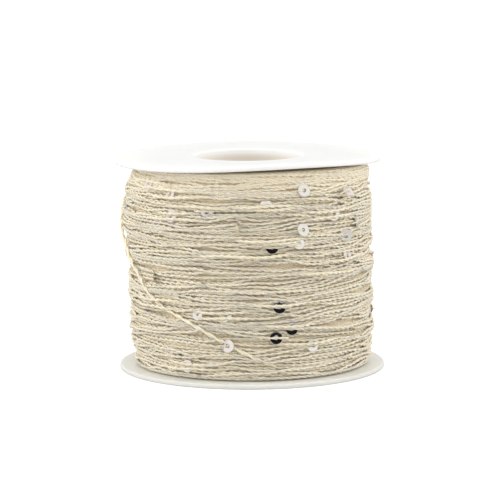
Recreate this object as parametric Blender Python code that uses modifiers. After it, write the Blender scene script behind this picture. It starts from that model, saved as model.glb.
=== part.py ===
# Reel of sequin trim: a moulded white reel wound full of fine cream yarn that carries small round sequins.
# Units are metres and +Z is up. The origin is on the surface under the middle of the reel.
# An angle goes round the reel in degrees, from its front, -Y, towards +X.
import math
from collections import namedtuple

import bpy
from mathutils import Matrix, Vector

MM = 0.001
GAP = 0.3 * MM

# The reel: two flanges with collars that fit into a core tube
REEL_HEIGHT = 51.7 * MM
FLANGE_RADIUS = 32.5 * MM
FLANGE_THICKNESS = 1.2 * MM
FLANGE_EDGE = 0.3 * MM
HOLE_RADIUS = 13.1 * MM
COLLAR_WALL = 1.2 * MM
COLLAR_LENGTH = 7.0 * MM
CORE_WALL = 1.5 * MM
CORE_RADIUS = HOLE_RADIUS + COLLAR_WALL + GAP + CORE_WALL

# The reel leans a little, which puts its flanges this far out of line
LEAN = 0.9 * MM

# The upper flange is bowed along its front-to-back line, and the yarn has pushed it up at the front right
FLANGE_BOW = 0.5 * MM
WARP_RISE = 1.25 * MM
WARP_ANGLE = 30.0
WARP_SHARPNESS = 3

# The winding between the flanges
WOUND_BOTTOM = FLANGE_THICKNESS + GAP
WOUND_TOP = REEL_HEIGHT - FLANGE_THICKNESS - GAP
WOUND_BORE = CORE_RADIUS + GAP
WOUND_CORNER = 0.02
WOUND_FOLLOWS_FLANGE = 0.9
WOUND_FOLLOW_DEPTH = 6

# Its main twists: groups of turns that climb, and others that cross them, with a slow sway
ROPE_RISE = 0.32 * MM
ROPE_PITCH = 4.3 * MM
ROPE_TURNS = 2
CROSS_PITCH = 5.6 * MM
CROSS_TURNS = -3
ROPE_SINK = 0.3
ROPE_FADE = 3.0 * MM
LONG_SWAY = 0.35
SHORT_SWAY = 0.25
SWAY_HEIGHT = 9.0 * MM

# The last length of trim, which runs down across the winding
STRAND_RADIUS = 0.45 * MM
STRAND_REACH = 0.7 * MM
STRAND_STEP = 2.2 * MM

# A sequin is a shallow dish with a hole in its middle
SEQUIN_RADIUS = 1.5 * MM
SEQUIN_HOLE = 0.45 * MM
SEQUIN_THICKNESS = 0.2 * MM
SEQUIN_DISH = 0.15 * MM

# How finely the round forms are divided
REEL_STEPS = 60
WOUND_STEPS = 60
WOUND_ROWS = 44
SEQUIN_STEPS = 12
ROUTE_STEPS = 12
SHARP_ANGLE = 35

Finish = namedtuple("Finish", "color roughness metallic")
FINISHES = {
    "reel_plastic": Finish((0.93, 0.93, 0.91), 0.42, 0.0),
    "cream_yarn": Finish((0.62, 0.53, 0.39), 0.75, 0.0),
    "sequin_film": Finish((0.86, 0.85, 0.84), 0.12, 0.9),
}

# Radius of the winding at shares of its height, before its lumps and ropes
Section = namedtuple("Section", "share radius")
SECTIONS = (
    Section(0.00, 27.8 * MM),
    Section(0.02, 28.6 * MM),
    Section(0.06, 29.1 * MM),
    Section(0.16, 29.4 * MM),
    Section(0.40, 29.5 * MM),
    Section(0.80, 29.5 * MM),
    Section(0.93, 29.3 * MM),
    Section(0.98, 28.9 * MM),
    Section(1.00, 28.2 * MM),
)

# Soft swellings and hollows of the winding: where each is, how far it stands out and how far it spreads
Lump = namedtuple("Lump", "angle height rise wide tall")
LUMPS = (
    Lump(-88, 38 * MM, 0.9 * MM, 36, 8.0 * MM),
    Lump(-84, 50 * MM, -2.0 * MM, 42, 4.0 * MM),
    Lump(-60, 5 * MM, -0.2 * MM, 30, 6.0 * MM),
    Lump(92, 28 * MM, 0.4 * MM, 40, 20.0 * MM),
    Lump(12, 22 * MM, 0.3 * MM, 30, 5.0 * MM),
    Lump(-25, 48 * MM, -0.5 * MM, 24, 4.0 * MM),
    Lump(150, 17 * MM, 0.6 * MM, 36, 8.0 * MM),
    Lump(-140, 28 * MM, -0.4 * MM, 30, 7.0 * MM),
)

# Route of the last length of trim over the winding, from the upper left to the foot
Waypoint = namedtuple("Waypoint", "angle height")
STRAND_ROUTE = (
    Waypoint(-124, 47.4 * MM),
    Waypoint(-114, 45.6 * MM),
    Waypoint(-105, 43.0 * MM),
    Waypoint(-96, 39.6 * MM),
    Waypoint(-88, 36.1 * MM),
    Waypoint(-80, 32.6 * MM),
    Waypoint(-72, 28.9 * MM),
    Waypoint(-64, 24.9 * MM),
    Waypoint(-56, 21.3 * MM),
    Waypoint(-47, 18.6 * MM),
    Waypoint(-38, 16.8 * MM),
    Waypoint(-30, 15.4 * MM),
    Waypoint(-22, 13.5 * MM),
    Waypoint(-14, 11.1 * MM),
    Waypoint(-6, 8.9 * MM),
    Waypoint(3, 6.6 * MM),
    Waypoint(12, 4.6 * MM),
)

# Sequins on the side that the photograph shows: tip turns a face upwards and turn turns it to its right
Sequin = namedtuple("Sequin", "angle height tip turn")
SEEN_SEQUINS = (
    Sequin(-82.2, 40.1 * MM, 0, 8),
    Sequin(-54.6, 47.0 * MM, 20, 0),
    Sequin(-52.0, 18.8 * MM, -8, 24),
    Sequin(-50.4, 25.1 * MM, 0, -40),
    Sequin(-38.8, 45.4 * MM, 22, -12),
    Sequin(-37.8, 40.2 * MM, 18, 6),
    Sequin(-31.9, 4.4 * MM, 10, 10),
    Sequin(-25.3, 17.2 * MM, 10, -14),
    Sequin(-19.4, 41.9 * MM, 0, 12),
    Sequin(-11.7, 17.0 * MM, 28, -6),
    Sequin(-10.5, 10.0 * MM, 16, -8),
    Sequin(-4.2, 38.4 * MM, 0, 55),
    Sequin(1.0, 30.6 * MM, -50, 0),
    Sequin(8.3, 43.4 * MM, 30, 6),
    Sequin(10.5, 33.4 * MM, 8, -6),
    Sequin(11.5, 11.8 * MM, 8, -8),
    Sequin(13.1, 19.2 * MM, 7, -9),
    Sequin(19.0, 13.8 * MM, 7, -12),
    Sequin(22.9, 34.2 * MM, 16, 6),
    Sequin(25.2, 37.3 * MM, 18, 4),
    Sequin(26.0, 46.6 * MM, 20, -6),
    Sequin(30.1, 9.3 * MM, 6, -10),
    Sequin(35.5, 25.7 * MM, -40, 10),
    Sequin(42.6, 40.2 * MM, 12, -20),
    Sequin(50.3, 34.9 * MM, 0, -48),
    Sequin(50.9, 29.9 * MM, 26, 6),
    Sequin(51.0, 45.4 * MM, 48, 0),
    Sequin(60.4, 37.5 * MM, 10, 14),
)

# Sequins round the far side, spread by a rule: even steps round it, with golden shares of its height
FAR_SEQUINS = 18
FAR_START = 98.0
FAR_SPAN = 152.0
FAR_LOW = 5.0 * MM
FAR_HIGH = 46.0 * MM
GOLDEN_SHARE = 0.6180339887
FIRST_SHARE = 0.2
FAR_TIP = 22
FAR_TIP_STEP = 2.1
FAR_TURN = 26
FAR_TURN_STEP = 3.7


def finish(name):
    found = bpy.data.materials.get(name)
    if found:
        return found
    made = bpy.data.materials.new(name)
    made.use_nodes = True
    shader = made.node_tree.nodes["Principled BSDF"]
    shader.inputs["Base Color"].default_value = (*FINISHES[name].color, 1.0)
    shader.inputs["Roughness"].default_value = FINISHES[name].roughness
    shader.inputs["Metallic"].default_value = FINISHES[name].metallic
    return made


def turned(name, outline, steps, material):
    """A solid turned from a closed outline of (radius, height) points, its outer side first and downwards."""
    count = len(outline)
    points = [(radius, 0.0, height) for radius, height in outline]
    mesh = bpy.data.meshes.new(name + "_outline")
    mesh.from_pydata(points, [(i, (i + 1) % count) for i in range(count)], [])
    blank = bpy.data.objects.new(name + "_outline", mesh)
    collection.objects.link(blank)
    screw = blank.modifiers.new("turn", "SCREW")
    screw.steps = screw.render_steps = steps
    screw.use_merge_vertices = True
    screw.merge_threshold = 0.01 * MM
    graph = bpy.context.evaluated_depsgraph_get()
    solid = bpy.data.meshes.new_from_object(blank.evaluated_get(graph))
    bpy.data.objects.remove(blank)
    bpy.data.meshes.remove(mesh)
    solid.name = name
    solid.materials.clear()
    solid.materials.append(finish(material))
    solid.shade_smooth()
    solid.set_sharp_from_angle(angle=math.radians(SHARP_ANGLE))
    piece = bpy.data.objects.new(name, solid)
    collection.objects.link(piece)
    return piece


def reshape(piece, move):
    """Puts every point of the piece where move says."""
    for vertex in piece.data.vertices:
        vertex.co = move(vertex.co)
    piece.data.update()


def lean_at(height):
    """How far the reel's middle is off centre at a height."""
    return LEAN * (0.5 - height / REEL_HEIGHT)


def angle_of(point):
    return math.degrees(math.atan2(point.x, -point.y))


def short_way(angle):
    """The same angle between -180 and 180 degrees."""
    return (angle + 180.0) % 360.0 - 180.0


def around_reel(angle, height, radius):
    """The point at that angle and height, and at that radius from the leaning middle."""
    around = math.radians(angle)
    return Vector((lean_at(height) + radius * math.sin(around), -radius * math.cos(around), height))


def bow_at(angle, radius):
    """How far the bowed upper flange stands over its left and right tips there."""
    return FLANGE_BOW * (1.0 - (radius * math.sin(math.radians(angle)) / FLANGE_RADIUS) ** 2)


def warp_at(angle, radius):
    """How far the yarn has pushed the upper flange up there."""
    facing = max(0.0, math.cos(math.radians(angle - WARP_ANGLE)))
    return WARP_RISE * facing**WARP_SHARPNESS * (radius / FLANGE_RADIUS) ** 2


def section_radius(height):
    share = (height - WOUND_BOTTOM) / (WOUND_TOP - WOUND_BOTTOM)
    share = min(max(share, 0.0), 1.0)
    for low, high in zip(SECTIONS, SECTIONS[1:]):
        if share <= high.share:
            part = (share - low.share) / (high.share - low.share)
            return low.radius + (high.radius - low.radius) * part
    return SECTIONS[-1].radius


def lumps_at(angle, height):
    total = 0.0
    for lump in LUMPS:
        across = short_way(angle - lump.angle) / lump.wide
        along = (height - lump.height) / lump.tall
        total += lump.rise * math.exp(-(across**2) - along**2)
    return total


def ropes_at(angle, height):
    around = math.radians(angle)
    sway = LONG_SWAY * math.sin(2 * around) + SHORT_SWAY * math.sin(3 * around + height / SWAY_HEIGHT)
    climbing = math.cos(2 * math.pi * height / ROPE_PITCH + ROPE_TURNS * around + sway)
    crossing = math.cos(2 * math.pi * height / CROSS_PITCH + CROSS_TURNS * around - sway)
    from_end = min(height - WOUND_BOTTOM, WOUND_TOP - height)
    fade = min(max(from_end / ROPE_FADE, 0.0), 1.0)
    return ROPE_RISE * fade * (max(climbing, crossing) - ROPE_SINK)


def wound_radius(angle, height):
    """Radius of the finished winding, from the reel's leaning middle."""
    return section_radius(height) + lumps_at(angle, height) + ropes_at(angle, height)


def clear_radius(angle, height, reach):
    """The most that the winding stands out within reach of a place."""
    turn = math.degrees(reach / section_radius(height))
    steps = (-1.0, -0.5, 0.0, 0.5, 1.0)
    return max(wound_radius(angle + turn * i, height + reach * j) for i in steps for j in steps)


def flange_outline():
    """Outline of the lower flange with its collar, the outer side first and downwards."""
    rim = FLANGE_RADIUS
    top = FLANGE_THICKNESS
    edge = FLANGE_EDGE
    collar = HOLE_RADIUS + COLLAR_WALL
    return [
        (rim - edge, top),
        (rim, top - edge),
        (rim, edge),
        (rim - edge, 0.0),
        (HOLE_RADIUS + edge, 0.0),
        (HOLE_RADIUS, edge),
        (HOLE_RADIUS, top + COLLAR_LENGTH),
        (collar, top + COLLAR_LENGTH),
        (collar, top),
    ]


def lower_flange():
    piece = turned("flange_lower", flange_outline(), REEL_STEPS, "reel_plastic")
    reshape(piece, lambda point: point + Vector((lean_at(0.0), 0.0, 0.0)))


def upper_flange():
    """The lower flange's form turned over, then bowed and pushed up at one side."""
    outline = [(radius, REEL_HEIGHT - height) for radius, height in reversed(flange_outline())]
    piece = turned("flange_upper", outline, REEL_STEPS, "reel_plastic")
    collar = HOLE_RADIUS + COLLAR_WALL + FLANGE_EDGE

    def pushed(point):
        angle = angle_of(point)
        radius = math.hypot(point.x, point.y)
        rise = bow_at(angle, radius)
        if radius > collar:
            rise += warp_at(angle, radius)
        return point + Vector((lean_at(REEL_HEIGHT), 0.0, rise))

    reshape(piece, pushed)


def core_tube():
    """The tube that the yarn is wound on, which the flanges' collars hold."""
    inner = CORE_RADIUS - CORE_WALL
    outline = [
        (CORE_RADIUS, WOUND_TOP),
        (CORE_RADIUS, WOUND_BOTTOM),
        (inner, WOUND_BOTTOM),
        (inner, WOUND_TOP),
    ]
    piece = turned("core_tube", outline, REEL_STEPS, "reel_plastic")
    reshape(piece, lambda point: point + Vector((lean_at(point.z), 0.0, 0.0)))


def wound_trim():
    """All the turns of trim as one solid round the core, with the winding's lumps and main twists."""
    span = WOUND_TOP - WOUND_BOTTOM
    even = 1.0 - 2 * WOUND_CORNER
    shares = [1.0, *(1.0 - WOUND_CORNER - even * i / WOUND_ROWS for i in range(WOUND_ROWS + 1)), 0.0]
    heights = [WOUND_BOTTOM + span * share for share in shares]
    outline = [(section_radius(height), height) for height in heights]
    outline += [(WOUND_BORE, WOUND_BOTTOM), (WOUND_BORE, WOUND_TOP)]
    piece = turned("wound_trim", outline, WOUND_STEPS, "cream_yarn")
    bore_side = (WOUND_BORE + SECTIONS[0].radius) / 2

    def shaped(point):
        if math.hypot(point.x, point.y) < bore_side:
            return point + Vector((lean_at(point.z), 0.0, 0.0))
        angle = angle_of(point)
        place = around_reel(angle, point.z, wound_radius(angle, point.z))
        # The top turns follow the flange that they push up
        share = (point.z - WOUND_BOTTOM) / span
        rim = SECTIONS[-1].radius
        rise = bow_at(angle, rim) + warp_at(angle, rim)
        place.z += WOUND_FOLLOWS_FLANGE * rise * share**WOUND_FOLLOW_DEPTH
        return place

    reshape(piece, shaped)


def smooth_curve(points):
    """A close row of places along the smooth curve through the points."""
    ends = [points[0], *points, points[-1]]
    places = []
    for a, b, c, d in zip(ends, ends[1:], ends[2:], ends[3:]):
        for i in range(ROUTE_STEPS):
            t = i / ROUTE_STEPS
            straight = 2 * b + (c - a) * t
            bent = (2 * a - 5 * b + 4 * c - d) * t**2 + (3 * b - a - 3 * c + d) * t**3
            places.append(0.5 * (straight + bent))
    places.append(points[-1])
    return places


def even_steps(places, step):
    """Points about a step apart along a row of places."""
    lengths = [(b - a).length for a, b in zip(places, places[1:])]
    count = round(sum(lengths) / step)
    pace = sum(lengths) / count
    found = [places[0]]
    walked = 0.0
    for a, b, length in zip(places, places[1:], lengths):
        while len(found) < count and walked + length >= pace * len(found):
            found.append(a.lerp(b, (pace * len(found) - walked) / length))
        walked += length
    found.append(places[-1])
    return found


def strand_radius(angle, height):
    """How far out the middle of the crossing strand runs."""
    return clear_radius(angle, height, 2 * STRAND_RADIUS) + GAP + STRAND_RADIUS


def crossing_strand():
    """The last length of trim, a round cord that lies on the winding."""
    data = bpy.data.curves.new("crossing_strand", "CURVE")
    data.dimensions = "3D"
    data.bevel_depth = STRAND_RADIUS
    data.bevel_resolution = 2
    data.use_fill_caps = True
    route = [around_reel(w.angle, w.height, section_radius(w.height)) for w in STRAND_ROUTE]
    places = even_steps(smooth_curve(route), STRAND_STEP)
    spline = data.splines.new("POLY")
    spline.points.add(len(places) - 1)
    for point, place in zip(spline.points, places):
        angle = angle_of(place - Vector((lean_at(place.z), 0.0, 0.0)))
        point.co = (*around_reel(angle, place.z, strand_radius(angle, place.z)), 1.0)
    data.materials.append(finish("cream_yarn"))
    collection.objects.link(bpy.data.objects.new("crossing_strand", data))


def strand_height(angle):
    """Height of the crossing strand at an angle, or None where it doesn't pass."""
    for low, high in zip(STRAND_ROUTE, STRAND_ROUTE[1:]):
        if low.angle <= angle <= high.angle:
            part = (angle - low.angle) / (high.angle - low.angle)
            return low.height + (high.height - low.height) * part
    return None


def room_under(point):
    """How far a point stands clear of the winding, or of the crossing strand where that lies under it."""
    outwards = point - Vector((lean_at(point.z), 0.0, 0.0))
    angle = angle_of(outwards)
    radius = math.hypot(outwards.x, outwards.y)
    strand = strand_height(angle)
    if strand is not None and abs(strand - point.z) < STRAND_REACH:
        return radius - strand_radius(angle, strand) - STRAND_RADIUS
    return radius - wound_radius(angle, point.z)


def far_sequins():
    found = []
    for i in range(FAR_SEQUINS):
        angle = FAR_START + FAR_SPAN * (i + 0.5) / FAR_SEQUINS
        share = (FIRST_SHARE + i * GOLDEN_SHARE) % 1.0
        height = FAR_LOW + (FAR_HIGH - FAR_LOW) * share
        tip = FAR_TIP * math.sin(FAR_TIP_STEP * i)
        turn = FAR_TURN * math.cos(FAR_TURN_STEP * i)
        found.append(Sequin(angle, height, tip, turn))
    return found


def add_sequin(number, sequin):
    """A dished round sequin, seated where its inner face first meets the winding or the crossing strand."""
    half = SEQUIN_THICKNESS / 2
    outline = [
        (SEQUIN_RADIUS, SEQUIN_DISH + half),
        (SEQUIN_RADIUS, SEQUIN_DISH - half),
        (SEQUIN_HOLE, -half),
        (SEQUIN_HOLE, half),
    ]
    piece = turned(f"sequin_{number:02d}", outline, SEQUIN_STEPS, "sequin_film")
    facing = Matrix.Rotation(math.radians(sequin.angle), 4, "Z") @ Matrix.Rotation(math.radians(90), 4, "X")
    turn = Matrix.Rotation(math.radians(sequin.turn), 4, "Y")
    tip = Matrix.Rotation(math.radians(-sequin.tip), 4, "X")
    radius = section_radius(sequin.height)
    start = around_reel(sequin.angle, sequin.height, radius)
    places = [vertex.co for vertex in piece.data.vertices]
    # Between its hole and its rim it may lie on the strand
    for edge in piece.data.edges:
        hole_end, rim_end = (piece.data.vertices[i].co for i in edge.vertices)
        places.append(hole_end.lerp(rim_end, 0.5))
    room = min(room_under(start + facing @ turn @ tip @ place) for place in places)
    seat = around_reel(sequin.angle, sequin.height, radius + GAP - room)
    piece.matrix_world = Matrix.Translation(seat) @ facing @ turn @ tip


for old in list(bpy.data.objects):
    bpy.data.objects.remove(old)
collection = bpy.data.collections.new("sequin_trim_reel")
bpy.context.scene.collection.children.link(collection)

lower_flange()
upper_flange()
core_tube()
wound_trim()
crossing_strand()
for count, row in enumerate([*SEEN_SEQUINS, *far_sequins()], start=1):
    add_sequin(count, row)
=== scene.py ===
# Looks of a reel of sequin trim: translucent white reel, cream two-ply yarn in layers, small sequins
# Metres, +Z up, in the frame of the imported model. Angles go round the reel from its front, -Y, towards +X.
import math

import bmesh
import bpy
import numpy as np
from mathutils import Matrix, Vector
from mathutils.bvhtree import BVHTree


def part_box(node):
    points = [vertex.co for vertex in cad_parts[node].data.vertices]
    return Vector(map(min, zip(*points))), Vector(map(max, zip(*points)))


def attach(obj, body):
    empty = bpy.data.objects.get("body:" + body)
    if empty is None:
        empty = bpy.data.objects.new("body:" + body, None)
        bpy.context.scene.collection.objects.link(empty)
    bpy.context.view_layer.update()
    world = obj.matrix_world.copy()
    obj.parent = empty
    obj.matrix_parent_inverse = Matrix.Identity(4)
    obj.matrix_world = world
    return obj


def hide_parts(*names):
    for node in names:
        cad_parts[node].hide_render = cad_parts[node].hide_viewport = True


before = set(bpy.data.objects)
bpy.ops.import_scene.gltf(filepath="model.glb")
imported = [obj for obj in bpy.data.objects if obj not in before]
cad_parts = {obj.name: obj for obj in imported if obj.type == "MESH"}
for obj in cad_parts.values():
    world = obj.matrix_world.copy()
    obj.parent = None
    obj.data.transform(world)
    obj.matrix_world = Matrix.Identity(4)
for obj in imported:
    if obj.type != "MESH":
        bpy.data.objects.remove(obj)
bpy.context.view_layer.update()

mm = 0.001
dice = np.random.default_rng(23)
bpy.ops.object.select_all(action="DESELECT")


# Camera: a long lens a little above the reel, at the photograph's angle
camera = {
    "target": (0.088 * mm, 0.0, 28.67 * mm),
    "distance": 732.2 * mm,
    "elevation": 0.1431,
    "roll": -0.0059,
    "lens": 215.2,
    "sensor": 36.0,
    "clip": (0.05, 20.0),
}


def addCamera():
    data = bpy.data.cameras.new("reelCamera")
    data.sensor_fit = "HORIZONTAL"
    data.sensor_width = camera["sensor"]
    data.lens = camera["lens"]
    data.clip_start, data.clip_end = camera["clip"]
    eye = bpy.data.objects.new("reelCamera", data)
    bpy.context.scene.collection.objects.link(eye)
    lookDown = Matrix.Rotation(math.pi / 2 - camera["elevation"], 4, "X")
    rolled = Matrix.Rotation(camera["roll"], 4, "Z")
    back = lookDown @ Vector((0.0, 0.0, camera["distance"]))
    eye.matrix_world = Matrix.Translation(Vector(camera["target"]) + back) @ lookDown @ rolled
    bpy.context.scene.camera = eye


addCamera()
print("camera set")


# Studio: white all round with a darker patch behind the camera, and soft boxes at both sides and in front
studio = {
    "white": (1.0, 0.995, 0.985),
    "worldLight": 0.87,
    "mirrorLight": 0.88,
    "darkPatch": 0.01,
    "patchEdge": (0.80, 0.86),
    "floorSize": 8.0,
    "floorTone": 0.52,
    "floorGlow": 0.72,
    "floorRoughness": 0.9,
    "aim": (0.0, 0.0, 0.025),
}
softBoxes = (
    {"name": "leftBox", "place": (-0.62, -0.12, 0.32), "size": 0.5, "power": 2.1},
    {"name": "rightBox", "place": (0.62, -0.05, 0.34), "size": 0.5, "power": 1.9},
    {"name": "frontBox", "place": (0.0, -0.75, 0.06), "size": 0.6, "power": 1.5},
)


def addWorld():
    world = bpy.data.worlds.new("studioWorld")
    world.use_nodes = True
    bpy.context.scene.world = world
    nodes, links = world.node_tree.nodes, world.node_tree.links
    nodes.clear()
    coords = nodes.new("ShaderNodeTexCoord")
    towards = nodes.new("ShaderNodeVectorMath")
    towards.operation = "DOT_PRODUCT"
    tilt = camera["elevation"]
    towards.inputs[1].default_value = (0.0, -math.cos(tilt), math.sin(tilt))
    links.new(coords.outputs["Generated"], towards.inputs[0])
    patch = nodes.new("ShaderNodeMapRange")
    patch.inputs["From Min"].default_value, patch.inputs["From Max"].default_value = studio["patchEdge"]
    patch.inputs["To Min"].default_value = studio["mirrorLight"]
    patch.inputs["To Max"].default_value = studio["darkPatch"]
    links.new(towards.outputs["Value"], patch.inputs["Value"])
    # Mirrors see the dark patch, the rest is lit by an even white
    light, mirrored, seen = (nodes.new("ShaderNodeBackground") for i in range(3))
    light.inputs["Color"].default_value = (*studio["white"], 1.0)
    light.inputs["Strength"].default_value = studio["worldLight"]
    mirrored.inputs["Color"].default_value = (*studio["white"], 1.0)
    links.new(patch.outputs["Result"], mirrored.inputs["Strength"])
    seen.inputs["Color"].default_value = (1.0, 1.0, 1.0, 1.0)
    path = nodes.new("ShaderNodeLightPath")
    last = light
    for ray, shader in (("Is Glossy Ray", mirrored), ("Is Camera Ray", seen)):
        mix = nodes.new("ShaderNodeMixShader")
        links.new(path.outputs[ray], mix.inputs["Fac"])
        links.new(last.outputs[0], mix.inputs[1])
        links.new(shader.outputs[0], mix.inputs[2])
        last = mix
    out = nodes.new("ShaderNodeOutputWorld")
    links.new(last.outputs[0], out.inputs["Surface"])


def addSoftBox(box):
    data = bpy.data.lights.new(box["name"], "AREA")
    data.shape = "DISK"
    data.size = box["size"]
    data.energy = box["power"]
    data.color = studio["white"]
    lamp = bpy.data.objects.new(box["name"], data)
    bpy.context.scene.collection.objects.link(lamp)
    lamp.location = box["place"]
    lamp.visible_glossy = False  # the sequins mirror the studio, not the boxes
    away = Vector(box["place"]) - Vector(studio["aim"])
    lamp.rotation_euler = away.to_track_quat("Z", "Y").to_euler()


def addFloor():
    bpy.ops.mesh.primitive_plane_add(size=studio["floorSize"])
    floor = bpy.context.object
    floor.name = "paleFloor"
    paint = bpy.data.materials.new("paleFloor")
    paint.use_nodes = True
    nodes, links = paint.node_tree.nodes, paint.node_tree.links
    shader = nodes["Principled BSDF"]
    tone = studio["floorTone"]
    shader.inputs["Base Color"].default_value = (tone, tone, tone, 1.0)
    shader.inputs["Roughness"].default_value = studio["floorRoughness"]
    shader.inputs["Emission Color"].default_value = (1.0, 1.0, 1.0, 1.0)
    # It looks white, and throws less light back than it seems to
    path = nodes.new("ShaderNodeLightPath")
    glow = nodes.new("ShaderNodeMath")
    glow.operation = "MULTIPLY"
    glow.inputs[1].default_value = studio["floorGlow"]
    links.new(path.outputs["Is Camera Ray"], glow.inputs[0])
    links.new(glow.outputs["Value"], shader.inputs["Emission Strength"])
    floor.data.materials.append(paint)


addWorld()
for row in softBoxes:
    addSoftBox(row)
addFloor()
bpy.context.scene.view_settings.view_transform = "Standard"
print("studio lit")


# Materials
def newMaterial(name):
    paint = bpy.data.materials.new(name)
    paint.use_nodes = True
    return paint, paint.node_tree.nodes, paint.node_tree.links, paint.node_tree.nodes["Principled BSDF"]


def noiseOn(nodes, links, vector, scale, detail=3.0, rough=0.5):
    noise = nodes.new("ShaderNodeTexNoise")
    noise.inputs["Scale"].default_value = scale
    noise.inputs["Detail"].default_value = detail
    noise.inputs["Roughness"].default_value = rough
    links.new(vector, noise.inputs["Vector"])
    return noise.outputs["Fac"]


def rangeOf(nodes, links, value, low, high, toLow=0.0, toHigh=1.0):
    step = nodes.new("ShaderNodeMapRange")
    step.inputs["From Min"].default_value = low
    step.inputs["From Max"].default_value = high
    step.inputs["To Min"].default_value = toLow
    step.inputs["To Max"].default_value = toHigh
    links.new(value, step.inputs["Value"])
    return step.outputs["Result"]


def addBump(nodes, links, shader, height, strength, distance):
    bump = nodes.new("ShaderNodeBump")
    bump.inputs["Strength"].default_value = strength
    bump.inputs["Distance"].default_value = distance
    links.new(height, bump.inputs["Height"])
    links.new(bump.outputs["Normal"], shader.inputs["Normal"])


def addDepth(shader, weight, colors, reach):
    # Light goes a little way into the piece
    shader.inputs["Subsurface Weight"].default_value = weight
    shader.inputs["Subsurface Radius"].default_value = colors
    shader.inputs["Subsurface Scale"].default_value = reach


def mixColors(nodes, links, factor, first, second):
    mix = nodes.new("ShaderNodeMix")
    mix.data_type = "RGBA"
    links.new(factor, mix.inputs["Factor"])
    for socket, value in ((mix.inputs[6], first), (mix.inputs[7], second)):
        if isinstance(value, tuple):
            socket.default_value = (*value, 1.0)
        else:
            links.new(value, socket)
    return mix.outputs[2]


plastic = {
    "white": (0.885, 0.885, 0.86),
    "milky": (0.86, 0.865, 0.845),
    "shade": (0.70, 0.70, 0.665),
    "shadeFrom": 3.0 * mm,
    "shadeTo": 1.5 * mm,
    # painted shade for the wall down inside the hole, and the heights where it starts and is full
    "holeShade": (0.80, 0.72, 0.62),
    "glow": (1.0, 0.93, 0.84),
    "glowStrength": 0.03,
    "holeRadius": 13.9 * mm,
    "holeEdge": 0.4 * mm,
    "holeShadeFrom": 51.2 * mm,
    "holeShadeTo": 50.0 * mm,
    "cloudScale": 60.0,
    "depth": 0.6,
    "depthColors": (1.0, 0.95, 0.85),
    "depthReach": 3.0 * mm,
    "glossScale": 900.0,
    "gloss": (0.32, 0.44),
    "grainScale": 2200.0,
    "grain": 0.25,
    "grainHeight": 0.04 * mm,
}


def makePlastic():
    paint, nodes, links, shader = newMaterial("reelPlastic")
    coords = nodes.new("ShaderNodeTexCoord").outputs["Object"]
    cloud = rangeOf(nodes, links, noiseOn(nodes, links, coords, plastic["cloudScale"]), 0.3, 0.7)
    tone = mixColors(nodes, links, cloud, plastic["white"], plastic["milky"])
    # Painted shade: inside the hole the wall is painted darker and warmer from a little below its top
    # downwards, the hole's shade with the yarn behind the wall warming it
    flat = nodes.new("ShaderNodeVectorMath")
    flat.operation = "MULTIPLY"
    flat.inputs[1].default_value = (1.0, 1.0, 0.0)
    links.new(coords, flat.inputs[0])
    away = nodes.new("ShaderNodeVectorMath")
    away.operation = "LENGTH"
    links.new(flat.outputs["Vector"], away.inputs[0])
    hole = plastic["holeRadius"]
    inHole = rangeOf(nodes, links, away.outputs["Value"], hole, hole - plastic["holeEdge"])
    place = nodes.new("ShaderNodeSeparateXYZ")
    links.new(coords, place.inputs["Vector"])
    holeShadeDepth = rangeOf(nodes, links, place.outputs["Z"], plastic["holeShadeFrom"], plastic["holeShadeTo"])
    both = nodes.new("ShaderNodeMath")
    both.operation = "MULTIPLY"
    links.new(inHole, both.inputs[0])
    links.new(holeShadeDepth, both.inputs[1])
    tone = mixColors(nodes, links, both.outputs["Value"], tone, plastic["holeShade"])
    # The flange that it stands on has less light behind it
    low = rangeOf(nodes, links, place.outputs["Z"], plastic["shadeFrom"], plastic["shadeTo"])
    links.new(mixColors(nodes, links, low, tone, plastic["shade"]), shader.inputs["Base Color"])
    # Light that comes through the core makes its wall glow a little
    shader.inputs["Emission Color"].default_value = (*plastic["glow"], 1.0)
    glow = rangeOf(nodes, links, inHole, 0.0, 1.0, 0.0, plastic["glowStrength"])
    links.new(glow, shader.inputs["Emission Strength"])
    addDepth(shader, plastic["depth"], plastic["depthColors"], plastic["depthReach"])
    mottle = noiseOn(nodes, links, coords, plastic["glossScale"])
    links.new(rangeOf(nodes, links, mottle, 0.3, 0.7, *plastic["gloss"]), shader.inputs["Roughness"])
    grain = noiseOn(nodes, links, coords, plastic["grainScale"], 2.0)
    addBump(nodes, links, shader, grain, plastic["grain"], plastic["grainHeight"])
    return paint


yarn = {
    "cream": (0.95, 0.83, 0.61),
    "pale": (0.98, 0.91, 0.765),
    "dull": (0.89, 0.77, 0.54),
    "pink": (0.95, 0.81, 0.66),
    # painted shade in the crease between the two plies, and how strongly it shows
    "plyGrooveShade": (0.86, 0.73, 0.51),
    "below": (0.77, 0.64, 0.44),
    "roughness": 0.62,
    "alongScale": (1.0, 0.002, 1.0),
    "patchScale": 90.0,
    "fleckScale": 900.0,
    "blushScale": 37.0,
    "plyGrooveShadeShare": 0.55,
    "through": 0.55,
    "throughColors": (1.0, 0.9, 0.7),
    "throughReach": 1.2 * mm,
    "sheen": 0.12,
    "sheenRoughness": 0.4,
    "sheenTint": (1.0, 0.97, 0.9),
    "fibreScale": (300.0, 6.0, 1.0),
    "fibres": 0.6,
    "fibreHeight": 0.06 * mm,
    "bodyScale": (60.0, 60.0, 1300.0),
    "bodyLines": 0.8,
    "bodyHeight": 0.2 * mm,
    "glowFrom": 43.0 * mm,
    "glowTo": 49.5 * mm,
    "glowStrength": 0.10,
}


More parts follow.
